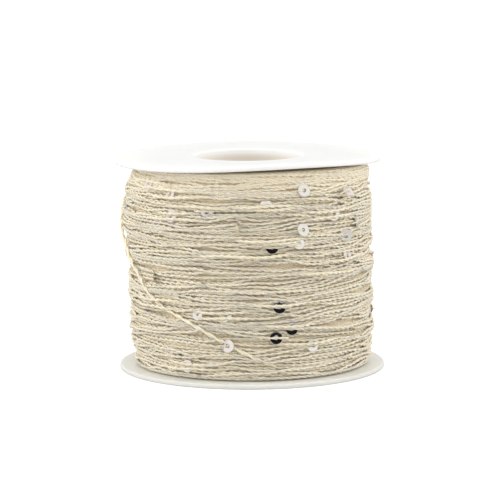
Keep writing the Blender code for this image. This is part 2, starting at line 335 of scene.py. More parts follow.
def makeYarn():
    # The yarn's map runs along its length in metres, and once round it
    paint, nodes, links, shader = newMaterial("creamYarn")
    uv = nodes.new("ShaderNodeUVMap")
    uv.uv_map = "alongYarn"
    stretch = nodes.new("ShaderNodeMapping")
    stretch.inputs["Scale"].default_value = yarn["alongScale"]
    links.new(uv.outputs["UV"], stretch.inputs["Vector"])
    along = stretch.outputs["Vector"]
    patches = rangeOf(nodes, links, noiseOn(nodes, links, along, yarn["patchScale"], 2.0), 0.35, 0.65)
    flecks = rangeOf(nodes, links, noiseOn(nodes, links, along, yarn["fleckScale"], 2.0), 0.45, 0.75)
    blush = rangeOf(nodes, links, noiseOn(nodes, links, along, yarn["blushScale"], 1.0), 0.55, 0.7)
    tone = mixColors(nodes, links, patches, yarn["cream"], yarn["dull"])
    tone = mixColors(nodes, links, blush, tone, yarn["pink"])
    tone = mixColors(nodes, links, flecks, tone, yarn["pale"])
    # Painted shade: between the two plies it is darker
    split = nodes.new("ShaderNodeSeparateXYZ")
    links.new(uv.outputs["UV"], split.inputs["Vector"])
    turn = nodes.new("ShaderNodeMath")
    turn.operation = "MULTIPLY"
    turn.inputs[1].default_value = 4 * math.pi
    links.new(split.outputs["Y"], turn.inputs[0])
    wave = nodes.new("ShaderNodeMath")
    wave.operation = "COSINE"
    links.new(turn.outputs["Value"], wave.inputs[0])
    plyGrooveShade = rangeOf(nodes, links, wave.outputs["Value"], -0.55, -1.0, 0.0, yarn["plyGrooveShadeShare"])
    tone = mixColors(nodes, links, plyGrooveShade, tone, yarn["plyGrooveShade"])
    links.new(tone, shader.inputs["Base Color"])
    shader.inputs["Roughness"].default_value = yarn["roughness"]
    addDepth(shader, yarn["through"], yarn["throughColors"], yarn["throughReach"])
    shader.inputs["Sheen Weight"].default_value = yarn["sheen"]
    shader.inputs["Sheen Roughness"].default_value = yarn["sheenRoughness"]
    shader.inputs["Sheen Tint"].default_value = (*yarn["sheenTint"], 1.0)
    # Light that comes through the flange lifts the turns just under it
    place = nodes.new("ShaderNodeSeparateXYZ")
    links.new(nodes.new("ShaderNodeTexCoord").outputs["Object"], place.inputs["Vector"])
    shader.inputs["Emission Color"].default_value = (*yarn["pale"], 1.0)
    height, reach = place.outputs["Z"], (yarn["glowFrom"], yarn["glowTo"])
    glow = rangeOf(nodes, links, height, *reach, 0.0, yarn["glowStrength"])
    links.new(glow, shader.inputs["Emission Strength"])
    # Fine fibres cross the yarn
    fibres = nodes.new("ShaderNodeMapping")
    fibres.inputs["Scale"].default_value = yarn["fibreScale"]
    links.new(uv.outputs["UV"], fibres.inputs["Vector"])
    nap = noiseOn(nodes, links, fibres.outputs["Vector"], 3.0, 3.0)
    addBump(nodes, links, shader, nap, yarn["fibres"], yarn["fibreHeight"])
    return paint


def makeYarnBody():
    # Where it shows between the turns it is the same yarn in shade
    paint, nodes, links, shader = newMaterial("yarnBelow")
    coords = nodes.new("ShaderNodeTexCoord").outputs["Object"]
    stretch = nodes.new("ShaderNodeMapping")
    stretch.inputs["Scale"].default_value = yarn["bodyScale"]
    links.new(coords, stretch.inputs["Vector"])
    lines = rangeOf(nodes, links, noiseOn(nodes, links, stretch.outputs["Vector"], 1.0, 2.0), 0.35, 0.65)
    links.new(mixColors(nodes, links, lines, yarn["below"], yarn["dull"]), shader.inputs["Base Color"])
    shader.inputs["Roughness"].default_value = yarn["roughness"]
    addBump(nodes, links, shader, lines, yarn["bodyLines"], yarn["bodyHeight"])
    return paint


film = {
    "silver": (0.95, 0.90, 0.85),
    "rose": (0.96, 0.83, 0.80),
    "mint": (0.89, 0.91, 0.84),
    "roughness": 0.07,
    "roseScale": 130.0,
    "mintScale": 240.0,
    "mintShare": 0.8,
    "coat": 0.5,
    "coatRoughness": 0.04,
    "rippleScale": 1500.0,
    "ripple": 0.35,
    "rippleHeight": 0.03 * mm,
}


def makeFilm():
    paint, nodes, links, shader = newMaterial("sequinFilm")
    coords = nodes.new("ShaderNodeTexCoord").outputs["Object"]
    rose = rangeOf(nodes, links, noiseOn(nodes, links, coords, film["roseScale"], 1.0), 0.45, 0.65)
    specks = noiseOn(nodes, links, coords, film["mintScale"], 1.0)
    mint = rangeOf(nodes, links, specks, 0.55, 0.72, 0.0, film["mintShare"])
    tone = mixColors(nodes, links, rose, film["silver"], film["rose"])
    links.new(mixColors(nodes, links, mint, tone, film["mint"]), shader.inputs["Base Color"])
    shader.inputs["Metallic"].default_value = 1.0
    shader.inputs["Roughness"].default_value = film["roughness"]
    shader.inputs["Coat Weight"].default_value = film["coat"]
    shader.inputs["Coat Roughness"].default_value = film["coatRoughness"]
    ripple = noiseOn(nodes, links, coords, film["rippleScale"], 1.0)
    addBump(nodes, links, shader, ripple, film["ripple"], film["rippleHeight"])
    return paint


plasticPaint = makePlastic()
yarnPaint = makeYarn()
bodyPaint = makeYarnBody()
filmPaint = makeFilm()
print("materials made")


# Frame readings: the reel's lean, the winding's surface and the lift of its top
lowBox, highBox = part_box("flange_lower"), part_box("flange_upper")
leanLow = (lowBox[0].x + lowBox[1].x) / 2
leanHigh = (highBox[0].x + highBox[1].x) / 2
reelHeight = 51.7 * mm


def leanAt(height):
    # How far the reel's middle lies to the right at a height
    return leanLow + (leanHigh - leanLow) * height / reelHeight


def cleanTree(node):
    # A merged copy of a CAD node, as a tree that rays can be cast at
    mesh = bmesh.new()
    mesh.from_mesh(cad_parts[node].data)
    bmesh.ops.remove_doubles(mesh, verts=mesh.verts, dist=0.001 * mm)
    tree = BVHTree.FromBMesh(mesh)
    mesh.free()
    return tree


grid = {
    "cells": 720,
    "rowStep": 0.1 * mm,
    "low": 1.5 * mm,
    "high": 50.2 * mm,
    "readCells": 120,
    "readRows": 100,
    "liftRadius": 23.0 * mm,
    "liftDepth": 6,
    "above": 80.0 * mm,
    "outside": 50.0 * mm,
    "inset": 0.1 * mm,
    "missed": 28.0 * mm,
}
cellTurn = 2 * math.pi / grid["cells"]
rows = int(round((grid["high"] - grid["low"]) / grid["rowStep"])) + 1
gridAngles = np.arange(grid["cells"]) * cellTurn
gridHeights = grid["low"] + np.arange(rows) * grid["rowStep"]


def readWinding():
    # Lift of the top edge at each angle, then the radius at each angle and height
    tree = cleanTree("wound_trim")
    angles = np.linspace(0, 2 * math.pi, grid["readCells"], endpoint=False)
    tops = []
    for angle in angles:
        x = leanAt(grid["high"]) + grid["liftRadius"] * math.sin(angle)
        y = -grid["liftRadius"] * math.cos(angle)
        hit = tree.ray_cast(Vector((x, y, grid["above"])), Vector((0, 0, -1)))[0]
        tops.append(hit.z)
    lifts = np.array(tops) - grid["high"]
    heights = np.linspace(grid["low"], grid["high"], grid["readRows"])
    table = np.zeros((len(angles), len(heights)))
    for i, angle in enumerate(angles):
        out = Vector((math.sin(angle), -math.cos(angle), 0.0))
        for j, height in enumerate(heights):
            share = (height - grid["low"]) / (grid["high"] - grid["low"])
            z = height + lifts[i] * share ** grid["liftDepth"]
            z = min(max(z, grid["low"] + grid["inset"]), tops[i] - grid["inset"])
            middle = Vector((leanAt(height), 0.0, z))
            hit = tree.ray_cast(middle + out * grid["outside"], -out)[0]
            table[i, j] = (hit - middle).length if hit else grid["missed"]
    return angles, lifts, heights, table


readAngles, readLifts, readHeights, readTable = readWinding()


def spread(values, positions, around):
    # The same table read at more places, the first axis going round
    around = np.append(around, around[0] + 2 * math.pi)
    values = np.concatenate([values, values[:1]])
    index = np.searchsorted(around, positions, side="right") - 1
    part = (positions - around[index]) / (around[index + 1] - around[index])
    part = part.reshape((-1,) + (1,) * (values.ndim - 1))
    return values[index] * (1 - part) + values[index + 1] * part


liftTable = spread(readLifts, gridAngles, readAngles)
byAngle = spread(readTable, gridAngles, readAngles)
columnParts = (gridHeights - grid["low"]) / (readHeights[1] - readHeights[0])
column = np.minimum(columnParts.astype(int), len(readHeights) - 2)
columnParts = columnParts - column
surface = byAngle[:, column] * (1 - columnParts) + byAngle[:, column + 1] * columnParts
print("winding read from the frame:", surface.shape, round(surface.mean() * 1000, 2), "mm mean radius")


def placeOnReel(angle, height, radius):
    # Arrays in, rows of x, y, z out
    turn = np.mod(angle, 2 * math.pi)
    lift = np.interp(turn, np.append(gridAngles, 2 * math.pi), np.append(liftTable, liftTable[0]))
    share = np.clip((height - grid["low"]) / (grid["high"] - grid["low"]), 0.0, 1.0)
    x = leanAt(height) + radius * np.sin(angle)
    return np.stack([x, -radius * np.cos(angle), height + lift * share ** grid["liftDepth"]], axis=-1)


# Yarn: laid turn by turn on a map of the winding's surface, each turn over what lies there already
laying = {
    "packing": 0.335 * mm,
    "packingRows": 3,
    "middleRadius": 29.5 * mm,
    "startDepth": 1.35 * mm,
    "sink": 0.15 * mm,
    "edge": 0.36 * mm,
    "softLimit": 0.0 * mm,
    "softShare": 0.3,
    "bendRadius": 14.0 * mm,
    "reach": 26,
    "tautSmooth": 3,
    "stretch": (200, 420),
    "seek": 5,
    "costSmooth": 10,
    "seekSmooth": 16,
    "seekCost": 150.0,
    "choice": 0.05 * mm,
    "settle": 70.0,
    "innerTurns": 56,
    "innerPitch": 0.84 * mm,
    "outerTurns": 112,
    "outerStart": 200,
    "firstPass": 0.35,
    "passTurns": (2.4, 8.0),
    "turnSharpness": 0.992,
    "wander": ((0.9, 0.30 * mm), (0.37, 0.28 * mm), (0.21, 0.15 * mm), (0.12, 0.07 * mm)),
    "waveShares": (1.0, 0.73, 1.31),
    "waveSize": 0.6,
    "innerWander": 0.4,
}
ground = surface - laying["startDepth"]
acrossRows = np.arange(-laying["packingRows"], laying["packingRows"] + 1)
acrossRise = np.sqrt(np.maximum(laying["packing"] ** 2 - (acrossRows * grid["rowStep"]) ** 2, 0.0))
groundStep = laying["middleRadius"] * cellTurn


def rowAt(height):
    return np.clip(np.round((height - grid["low"]) / grid["rowStep"]).astype(int), 0, rows - 1)


def cellAt(angle):
    return np.round(angle / cellTurn).astype(int) % grid["cells"]


def restingRadius(cell, row, onTop=False):
    # Radius of a yarn's middle where it just lies on the ground at those cells and rows
    around = np.clip(row[..., None] + acrossRows, 0, rows - 1)
    radius = (ground[cell[..., None], around] + acrossRise).max(axis=-1) - laying["sink"]
    if onTop:
        return radius
    # Yarn that lies high is pulled down into the turns below it
    limit = surface[cell, row] + laying["softLimit"]
    return np.where(radius > limit, limit + laying["softShare"] * (radius - limit), radius)


def smoothAlong(values, reach):
    window = np.hanning(2 * reach + 3)[1:-1]
    padded = np.pad(values, [(0, 0)] * (values.ndim - 1) + [(reach, reach)], mode="edge")
    window = window / window.sum()
    if values.ndim == 1:
        return np.convolve(padded, window, mode="valid")
    return np.stack([np.convolve(line, window, mode="valid") for line in padded])


def pulledTaut(resting):
    # A taut yarn bridges the hollows between high places
    reach = laying["reach"]
    drop = (np.arange(-reach, reach + 1) * groundStep) ** 2 / (2 * laying["bendRadius"])
    line = np.pad(resting, reach, mode="edge")
    bridged = np.max([line[k:k + len(resting)] - drop[k] for k in range(2 * reach + 1)], axis=0)
    return smoothAlong(bridged, laying["tautSmooth"])


def raiseGround(cell, height, radius):
    row = rowAt(height)
    for across, rise in zip(acrossRows, acrossRise):
        target = np.clip(row + across, 0, rows - 1)
        np.maximum.at(ground, (cell, target), radius + rise)


def layTurns(heights, startCell):
    # Wanted heights at every cell of the way in, settled heights and radii out; the ground rises under them
    total = len(heights)
    settled, radii, resting = np.zeros(total), np.zeros(total), np.zeros(total)
    lowest, highest = grid["low"] + laying["edge"], grid["high"] - laying["edge"]
    shifts = np.arange(-laying["seek"], laying["seek"] + 1)
    shiftCost = (shifts * grid["rowStep"]) ** 2 * laying["seekCost"]
    offset, first = 0.0, 0
    while first < total:
        last = min(first + int(dice.integers(*laying["stretch"])), total)
        ahead = min(last + laying["reach"], total)
        index = np.arange(first, ahead)
        cell = (startCell + index) % grid["cells"]
        row = rowAt(heights[index])
        # It slides a little into the grooves beside it, from where the stretch before stopped
        cost = np.stack([restingRadius(cell, np.clip(row + s, 0, rows - 1)) for s in shifts])
        cost = smoothAlong(cost, laying["costSmooth"]) + shiftCost[:, None]
        weight = np.exp(-(cost - cost.min(axis=0)) / laying["choice"])
        slide = (weight * shifts[:, None]).sum(axis=0) / weight.sum(axis=0)
        slide = smoothAlong(slide, laying["seekSmooth"])
        slide = slide + (offset - slide[0]) * np.exp(-np.arange(len(slide)) / laying["settle"])
        offset = slide[min(last - first, len(slide) - 1)]
        height = np.clip(heights[index] + slide * grid["rowStep"], lowest, highest)
        resting[first:ahead] = restingRadius(cell, rowAt(height))
        settled[first:ahead] = height
        back = max(first - laying["reach"], 0)
        radii[first:last] = pulledTaut(resting[back:ahead])[first - back:last - back]
        here = slice(0, last - first)
        raiseGround(cell[here], height[here], radii[first:last])
        first = last
    return settled, radii


def wanderAlong(turns):
    total = np.zeros(len(turns))
    for wave, size in laying["wander"]:
        for share in laying["waveShares"]:
            phase = dice.uniform(0, 2 * math.pi)
            total += size * laying["waveSize"] * np.sin(2 * math.pi * turns / (wave * share) + phase)
    return total


def innerHeights():
    count = int(laying["innerTurns"] * grid["cells"])
    turns = np.arange(count) / grid["cells"]
    climb = grid["low"] + laying["edge"] + turns * laying["innerPitch"]
    return climb + laying["innerWander"] * wanderAlong(turns)


def outerHeights():
    # Back and forth between the flanges, each pass with its own number of turns
    count = int(laying["outerTurns"] * grid["cells"])
    turns = np.arange(count) / grid["cells"]
    swing = np.zeros(count)
    start, passed = 0, laying["firstPass"]
    while start < count:
        length = dice.uniform(*laying["passTurns"])
        stop = min(start + int(length * grid["cells"]), count)
        swing[start:stop] = passed + (np.arange(stop - start) / (length * grid["cells"]))
        passed = passed + 1.0
        start = stop
    sharp = laying["turnSharpness"]
    wave = np.arcsin(sharp * np.sin(math.pi * (swing - 0.5))) / math.asin(sharp)
    middle = (grid["low"] + grid["high"]) / 2
    half = (grid["high"] - grid["low"]) / 2 - laying["edge"]
    return middle + half * wave + wanderAlong(turns)


# Strand: two plies twisted round each other, swept along the way that the yarn took
strand = {
    "ply": 0.245 * mm,
    "plyApart": 0.78,
    "twist": 3.7 * mm,
    "fineStep": 2,
    "coarseStep": 5,
    "sides": 8,
    "slub": 0.10,
    "slubWaves": (11 * mm, 29 * mm),
}


def plySection():
    # The outline of two round plies that touch, side by side
    data = bpy.data.curves.new("plySection", "CURVE")
    data.dimensions = "2D"
    line = data.splines.new("POLY")
    line.points.add(strand["sides"] - 1)
    for i in range(strand["sides"]):
        turn = 2 * math.pi * i / strand["sides"]
        apart = strand["plyApart"]
        reach = apart * abs(math.cos(turn)) + math.sqrt(1 - (apart * math.sin(turn)) ** 2)
        size = strand["ply"] * reach
        line.points[i].co = (size * math.cos(turn), size * math.sin(turn), 0.0, 1.0)
    line.use_cyclic_u = True
    section = bpy.data.objects.new("plySection", data)
    bpy.context.scene.collection.objects.link(section)
    return section


plies = plySection()


def lengthsAlong(points):
    return np.concatenate([[0.0], np.cumsum(np.linalg.norm(np.diff(points, axis=0), axis=1))])


def sweepStrand(name, points, startLength=0.0, thick=1.0, twist=strand["twist"]):
    length = lengthsAlong(points) + startLength
    data = bpy.data.curves.new(name, "CURVE")
    data.dimensions = "3D"
    data.twist_mode = "Z_UP"
    data.bevel_mode = "OBJECT"
    data.bevel_object = plies
    data.use_fill_caps = True
    line = data.splines.new("POLY")
    line.points.add(len(points) - 1)
    line.points.foreach_set("co", np.column_stack([points, np.ones(len(points))]).ravel())
    line.points.foreach_set("tilt", length / twist * 2 * math.pi)
    short, long = strand["slubWaves"]
    slub = strand["slub"] * np.sin(length / short) * np.sin(length / long)
    line.points.foreach_set("radius", thick * (1 + slub))
    piece = bpy.data.objects.new(name, data)
    bpy.context.scene.collection.objects.link(piece)
    bpy.ops.object.select_all(action="DESELECT")
    piece.select_set(True)
    bpy.context.view_layer.objects.active = piece
    bpy.ops.object.convert(target="MESH")
    piece = bpy.context.object
    mapAlong(piece, length)
    piece.data.shade_smooth()
    return piece


def mapAlong(piece, length):
    # The sweep's points come in rings, one for each place along the strand
    mesh, sides = piece.data, strand["sides"]
    while mesh.uv_layers:
        mesh.uv_layers.remove(mesh.uv_layers[0])
    layer = mesh.uv_layers.new(name="alongYarn")
    corner = np.zeros(len(mesh.loops), int)
    mesh.loops.foreach_get("vertex_index", corner)
    ring = np.minimum(corner // sides, len(length) - 1)
    side = (corner % sides) / sides
    start = np.zeros(len(mesh.polygons), int)
    size = np.zeros(len(mesh.polygons), int)
    mesh.polygons.foreach_get("loop_start", start)
    mesh.polygons.foreach_get("loop_total", size)
    # The face that closes each ring runs up to a whole turn
    quads = start[size == 4]
    around = np.stack([corner[quads + j] % sides for j in range(4)])
    closing = quads[(around.max(axis=0) == sides - 1) & (around.min(axis=0) == 0)]
    for j in range(4):
        here = closing + j
        side[here[corner[here] % sides == 0]] = 1.0
    layer.data.foreach_set("uv", np.column_stack([length[ring], side]).ravel())


def finishPiece(piece, paint, slot, *nodes):
    piece.data.materials.clear()
    piece.data.materials.append(paint)
    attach(piece, "root")
    if nodes:
        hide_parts(*nodes)


def joinPieces(name, pieces):
    bpy.ops.object.select_all(action="DESELECT")
    for piece in pieces:
        piece.select_set(True)
    bpy.context.view_layer.objects.active = pieces[0]
    if len(pieces) > 1:
        bpy.ops.object.join()
    joined = bpy.context.object
    joined.name = name
    return joined


def addTurns(name, way, step, groups):
    heights, radii, startCell = way
    each = len(heights) // groups
    run = 0.0
    for i in range(groups):
        index = np.arange(i * each, min((i + 1) * each + step + 1, len(heights)), step)
        angle = (startCell + index) * cellTurn
        points = placeOnReel(angle, heights[index], radii[index])
        piece = sweepStrand(f"{name}{i + 1}", points, run)
        run += lengthsAlong(points)[-1]
        finishPiece(piece, yarnPaint, "cream_yarn")
        print("turns swept:", piece.name, len(piece.data.polygons), "faces")


innerWay = (*layTurns(innerHeights(), 0), 0)
outerWay = (*layTurns(outerHeights(), laying["outerStart"]), laying["outerStart"])
rise = (ground - surface) * 1000
print("yarn laid over the CAD surface, mm:", np.percentile(rise, [1, 25, 50, 75, 99, 100]).round(2))
addTurns("innerTurns", innerWay, strand["coarseStep"], 1)
addTurns("outerTurns", outerWay, strand["fineStep"], 4)


# Crossing strand: the last length of trim, from the upper left down to the foot, its route in degrees and mm
layStep = 0.5
crossing = {
    "route": (
        (-124, 47.4), (-114, 45.6), (-105, 43.0), (-96, 39.6), (-88, 36.1), (-80, 32.6),
        (-72, 28.9), (-64, 24.9), (-56, 21.3), (-47, 18.6), (-38, 16.8), (-30, 15.4),
        (-22, 13.5), (-14, 11.1), (-6, 8.9), (3, 6.6), (12, 4.6),
    ),
    "smooth": 12,
    "tuck": 1.1 * mm,
    "tuckLength": 11.0 * mm,
    "thick": 1.18,
    "twist": 6.2 * mm,
}


def tucked(length, tuck, tuckLength):
    # How far the two ends of a strand dive into the winding
    fromEnd = np.minimum(length, length[-1] - length) / tuckLength
    near = np.clip(1 - fromEnd, 0.0, 1.0)
    return tuck * near * near * (3 - 2 * near)


def layLength(name, degrees, heights, tuck, tuckLength, thick=1.0, twist=strand["twist"]):
    # One length of yarn over all that lies there, with both its ends tucked in
    angle = np.radians(degrees)
    cell = cellAt(angle)
    radius = pulledTaut(restingRadius(cell, rowAt(heights), onTop=True))
    away = lengthsAlong(placeOnReel(angle, heights, radius))
    low = tucked(away, tuck, tuckLength)
    raiseGround(cell, heights, radius - low)
    return sweepStrand(name, placeOnReel(angle, heights, radius - low), 0.0, thick, twist)


def addCrossingStrand():
    turns, heights = (np.array(values, float) for values in zip(*crossing["route"]))
    degrees = np.arange(turns[0], turns[-1], layStep)
    # Smoothed between the points of its route
    height = smoothAlong(np.interp(degrees, turns, heights), crossing["smooth"]) * mm
    ends = (crossing["tuck"], crossing["tuckLength"])
    piece = layLength("crossingYarn", degrees, height, *ends, crossing["thick"], crossing["twist"])
    finishPiece(piece, yarnPaint, "cream_yarn", "crossing_strand")


addCrossingStrand()
print("crossing strand laid")


# Sequins: thin dished discs with a hole, each held by a thread of the yarn
sequin = {
    "radius": 1.5 * mm,
    "hole": 0.45 * mm,
    "thickness": 0.11 * mm,
    "dish": 0.035 * mm,
    "steps": 36,
    "drawnAt": (0.22, 0.5, 0.8, 0.94, 1.0),
    "rimWidth": 0.03 * mm,
    "rimSegments": 2,
    "rimAngle": math.radians(60),
    "smoothAngle": math.radians(40),
    "sink": 0.10 * mm,
    "sunkShare": 22,
    "wholeShare": 2,
    "seatRings": (0.45, 0.8, 1.15, 1.45),
    "seatSteps": 24,
    "coverRings": np.linspace(0.1, 1.5, 16),
    "coverSteps": 64,
    "thread": 0.42,
    "acrossThread": 0.72,
}


def modelSequin():
    bpy.ops.mesh.primitive_circle_add(vertices=sequin["steps"], radius=sequin["hole"])
    disc = bpy.context.object
    disc.name = "sequinMaster"
    bpy.ops.object.mode_set(mode="EDIT")
    bpy.ops.mesh.select_all(action="SELECT")
    reached = sequin["hole"]
    for share in sequin["drawnAt"]:
        radius = sequin["hole"] + (sequin["radius"] - sequin["hole"]) * share
        bpy.ops.mesh.extrude_edges_move(TRANSFORM_OT_translate={"value": (0, 0, 0)})
        bpy.ops.transform.resize(value=(radius / reached, radius / reached, 1), center_override=(0, 0, 0))
        reached = radius
    bpy.ops.object.mode_set(mode="OBJECT")
    for vertex in disc.data.vertices:
        share = (vertex.co.xy.length - sequin["hole"]) / (sequin["radius"] - sequin["hole"])
        vertex.co.z = sequin["dish"] * share * share
    thick = disc.modifiers.new("thickness", "SOLIDIFY")
    thick.thickness = sequin["thickness"]
    thick.offset = 0.0
    bpy.ops.object.modifier_apply(modifier="thickness")
    soft = disc.modifiers.new("rim", "BEVEL")
    soft.width = sequin["rimWidth"]
    soft.segments = sequin["rimSegments"]
    soft.limit_method = "ANGLE"
    soft.angle_limit = sequin["rimAngle"]
    bpy.ops.object.modifier_apply(modifier="rim")
    bpy.ops.object.mode_set(mode="EDIT")
    bpy.ops.mesh.select_all(action="SELECT")
    bpy.ops.mesh.normals_make_consistent(inside=False)
    bpy.ops.object.mode_set(mode="OBJECT")
    bpy.ops.object.shade_smooth_by_angle(angle=sequin["smoothAngle"])
    return disc


def readSequin(node):
    # Middle and outward facing of a sequin of the frame
    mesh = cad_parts[node].data
    points = np.zeros(len(mesh.vertices) * 3)
    mesh.vertices.foreach_get("co", points)
    points = np.unique(points.reshape(-1, 3).round(7), axis=0)
    middle = points.mean(axis=0)
    facing = np.linalg.svd(points - middle)[2][2]
    outwards = np.array([middle[0] - leanAt(middle[2]), middle[1], 0.0])
    if facing @ outwards < 0:
        facing = -facing
    return middle, facing


def sequinAxes(middle, facing):
    across = np.cross([0.0, 0.0, 1.0], facing)
    across /= np.linalg.norm(across)
    return across, np.cross(facing, across)


def placesOnDisc(middle, across, up, radii, count):
    turns = np.linspace(0, 2 * math.pi, count, endpoint=False)
    rings = np.array(radii)[:, None] * mm
    x = (rings * np.cos(turns)).ravel()
    y = (rings * np.sin(turns)).ravel()
    return middle + x[:, None] * across + y[:, None] * up


def reelPlace(points):
    # Angle, height and radius of points, the top's lift taken off
    x = points[:, 0] - leanAt(points[:, 2])
    angle = np.mod(np.arctan2(x, -points[:, 1]), 2 * math.pi)
    lift = liftTable[cellAt(angle)]
    share = np.clip((points[:, 2] - grid["low"]) / (grid["high"] - grid["low"]), 0.0, 1.0)
    return angle, points[:, 2] - lift * share ** grid["liftDepth"], np.hypot(x, points[:, 1])


def seatSequin(middle, facing, share):
    # Moved straight in or out until it rests on the yarn, below the given share of it
    across, up = sequinAxes(middle, facing)
    outwards = np.array([middle[0] - leanAt(middle[2]), middle[1], 0.0])
    outwards /= np.linalg.norm(outwards)
    places = placesOnDisc(middle, across, up, sequin["seatRings"], sequin["seatSteps"])
    angle, height, radius = reelPlace(places)
    room = np.percentile(radius - ground[cellAt(angle), rowAt(height)], share)
    middle = middle + outwards * (sequin["thickness"] / 2 - room - sequin["sink"])
    return middle, across, up


def addSequin(master, name, middle, facing, share):
    middle, across, up = seatSequin(middle, facing, share)
    disc = master.copy()
    disc.data = master.data.copy()
    disc.name = name
    bpy.context.scene.collection.objects.link(disc)
    turn = Matrix((across, up, facing)).transposed().to_4x4()
    disc.data.transform(Matrix.Translation(Vector(middle)) @ turn)
    # Yarn that is laid later goes over it
    places = placesOnDisc(middle, across, up, sequin["coverRings"], sequin["coverSteps"])
    angle, height, radius = reelPlace(places)
    np.maximum.at(ground, (cellAt(angle), rowAt(height)), radius + sequin["thickness"] / 2)
    return disc, middle, across


# The thread's way in mm along the sequin and out from it: through its hole, or across its face
throughWay = (
    (-3.0, -0.7), (-2.2, -0.15), (-1.6, 0.16), (-0.8, 0.20), (-0.25, 0.14), (0.0, -0.1), (0.1, -0.6),
)
acrossWay = (
    (-3.0, -0.7), (-2.2, -0.15), (-1.6, 0.2), (-0.8, 0.2), (0.0, 0.16),
    (0.8, 0.2), (1.6, 0.2), (2.2, -0.15), (3.0, -0.7),
)
threadSteps = 6
threadSmooth = 4


def addThread(middle, across, facing, through):
    # Out of the winding, over the sequin's face and back in, or down through its hole
    way = throughWay if through else acrossWay
    along, out = (np.array(values) * mm for values in zip(*way))
    share = np.linspace(0, len(way) - 1, len(way) * threadSteps)
    along = smoothAlong(np.interp(share, np.arange(len(way)), along), threadSmooth)
    out = smoothAlong(np.interp(share, np.arange(len(way)), out), threadSmooth)
    points = middle + along[:, None] * across + out[:, None] * facing
    return sweepStrand("sequinThread", points, 0.0, sequin["thread" if through else "acrossThread"])


# Numbers of the sequins with a thread across the face, and of those that lie on top of the turns
acrossFace = (9, 15, 16, 17, 18)
seenWhole = (11, 16, 17, 19, 20, 21, 27)


def addSequins():
    master = modelSequin()
    threads = []
    nodes = sorted(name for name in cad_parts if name.startswith("sequin_"))
    for number, node in enumerate(nodes, start=1):
        middle, facing = readSequin(node)
        share = sequin["wholeShare" if number in seenWhole else "sunkShare"]
        disc, middle, across = addSequin(master, f"sequinDisc{number:02d}", middle, facing, share)
        finishPiece(disc, filmPaint, "sequin_film", node)
        threads.append(addThread(middle, across, facing, number not in acrossFace))
    bpy.data.objects.remove(master)
    finishPiece(joinPieces("sequinThreads", threads), yarnPaint, "cream_yarn")
    print("sequins placed:", len(nodes))


addSequins()


# Turns that were wound on after some of the sequins: first and last angle, height at both
coverForm = {
    "sway": 0.15,
    "swayDegrees": 5.0,
    "tuck": 0.9 * mm,
    "tuckLength": 5.0 * mm,
}
covers = (
    (-44, -4, 42.9, 42.3),
    (-28, 26, 31.3, 31.5),
    (20, 62, 26.8, 26.1),
    (-75, -40, 47.9, 47.6),
    (-72, -38, 46.5, 46.6),
    (-70, -34, 17.9, 18.0),
    (-66, -30, 19.8, 19.7),
    (-56, -20, 44.7, 44.6),
    (-52, -24, 46.2, 46.3),
    (-55, -18, 39.6, 39.5),
    (-50, -22, 40.9, 41.0),
    (-50, -12, 3.8, 3.8),
    (-46, -16, 5.1, 5.0),
    (-30, 4, 17.7, 17.9),
    (-28, 6, 16.4, 16.5),
    (-10, 26, 42.3, 42.2),
    (-7, 23, 42.9, 42.8),
    (-7, 28, 33.9, 33.8),
    (-4, 26, 34.5, 34.4),
    (-9, 30, 35.0, 35.0),
    (-4, 31, 19.6, 19.7),
    (1, 36, 14.5, 14.5),
    (14, 46, 9.5, 9.4),
    (12, 48, 10.1, 10.0),
    (24, 60, 39.6, 39.5),
    (22, 62, 41.0, 41.1),
    (34, 68, 29.2, 29.3),
)


def addCovers():
    pieces = []
    for first, last, start, stop in covers:
        degrees = np.arange(first, last, layStep)
        sway = coverForm["sway"] * np.sin(degrees / coverForm["swayDegrees"] + first)
        heights = np.linspace(start, stop, len(degrees)) + sway
        ends = (coverForm["tuck"], coverForm["tuckLength"])
        pieces.append(layLength("coverTurn", degrees, heights * mm, *ends))
    finishPiece(joinPieces("coverTurns", pieces), yarnPaint, "cream_yarn")


addCovers()
print("cover turns laid")


# Body of the winding, under the turns that show
bodyForm = {
    "cells": 120,
    "levels": 48,
    "bore": 0.3 * mm,
}


def addWoundBody():
    cells = bodyForm["cells"]
    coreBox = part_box("core_tube")
    bore = (coreBox[1].y - coreBox[0].y) / 2 + bodyForm["bore"]
    heights = np.linspace(grid["low"], grid["high"], bodyForm["levels"] + 1)
    heights = [grid["low"], *heights, grid["high"]]
    bpy.ops.mesh.primitive_circle_add(vertices=cells, radius=bore, location=(0, 0, 0))
    body = bpy.context.object
    body.name = "woundBody"
    bpy.ops.object.mode_set(mode="EDIT")
    for i in range(len(heights) - 1):
        bpy.ops.mesh.extrude_edges_move(TRANSFORM_OT_translate={"value": (0, 0, mm)})
    bpy.ops.object.mode_set(mode="OBJECT")
    # Each ring goes to its place: the bore, the outer side from foot to top, and the bore again
    points = np.zeros((len(body.data.vertices), 3))
    angles = np.array([math.atan2(v.co.x, -v.co.y) for v in body.data.vertices])
    ring = np.array([int(round(v.co.z / mm)) for v in body.data.vertices])
    for number, height in enumerate(heights):
        here = ring == number
        cell = cellAt(angles[here])
        atBore = number in (0, len(heights) - 1)
        outer = surface[cell, int(rowAt(height))] - laying["startDepth"]
        radius = np.full(here.sum(), bore) if atBore else outer
        points[here] = placeOnReel(angles[here], np.full(here.sum(), height), radius)
    body.data.vertices.foreach_set("co", points.ravel())
    for edge in body.data.edges:
        a, b = (ring[v] for v in edge.vertices)
        edge.select = a == b and a in (0, len(heights) - 1)
    bpy.ops.object.mode_set(mode="EDIT")
    bpy.ops.mesh.bridge_edge_loops()
    bpy.ops.mesh.select_all(action="SELECT")
    bpy.ops.mesh.normals_make_consistent(inside=False)
    bpy.ops.object.mode_set(mode="OBJECT")
    body.data.update()
    return body


finishPiece(addWoundBody(), bodyPaint, "cream_yarn", "wound_trim")
print("winding's body made")


